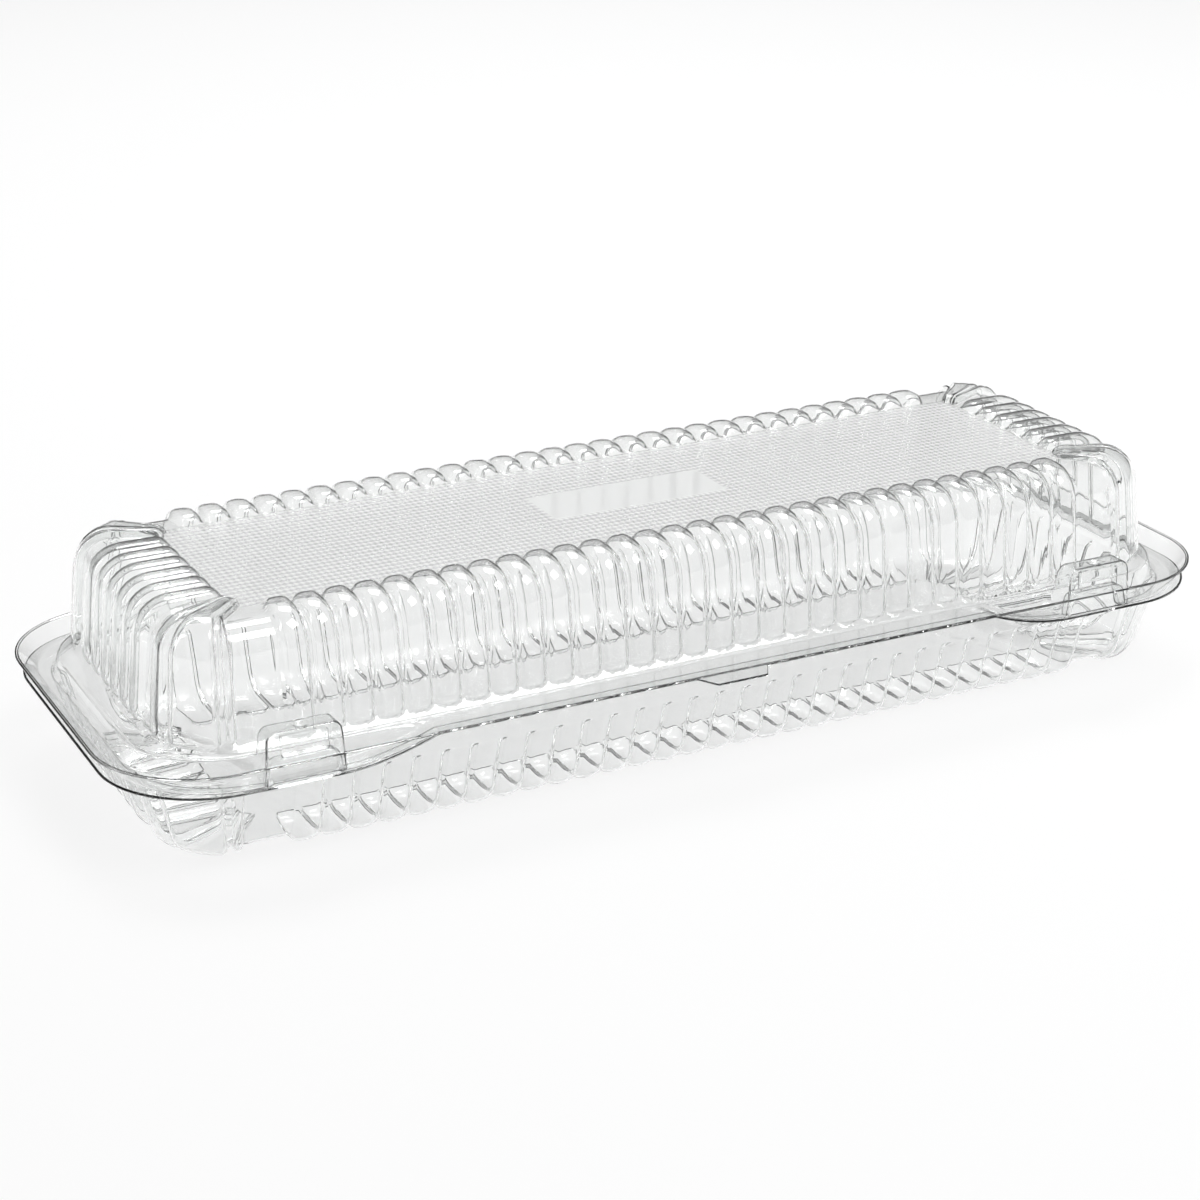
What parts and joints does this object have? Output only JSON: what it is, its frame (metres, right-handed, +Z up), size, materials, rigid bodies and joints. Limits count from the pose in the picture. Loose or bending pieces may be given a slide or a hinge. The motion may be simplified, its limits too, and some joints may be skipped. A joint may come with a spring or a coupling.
{
  "type": "hinged plastic container",
  "caption": "Long clear hinged container: a fluted domed lid on a fluted tray, with a moat round its ends, snap latches and a finger tab in front and a hinge along the back",
  "frame": {"origin": "centre of the bounding box's base, on the surface that the container stands on, midway between its ends and between the hinge edge and the tip of the finger tab", "axes": "+X along the container to the right seen from the front, +Y to the back, where the hinge is, +Z up"},
  "size_m": [0.34, 0.13, 0.0646],
  "materials": {
    "clear_sheet": "clear formed sheet with a gloss surface"
  },
  "bodies": {
    "tray": {"base_tray": "clear_sheet"},
    "cover": {"lid": "clear_sheet"}
  },
  "joints": [
    {"name": "lid_hinge", "type": "hinge", "parent": "tray", "child": "cover", "pos_m": [0, 0.0651, 0.03015], "axis": [-1, 0, 0], "range_deg": [0, 170]}
  ]
}
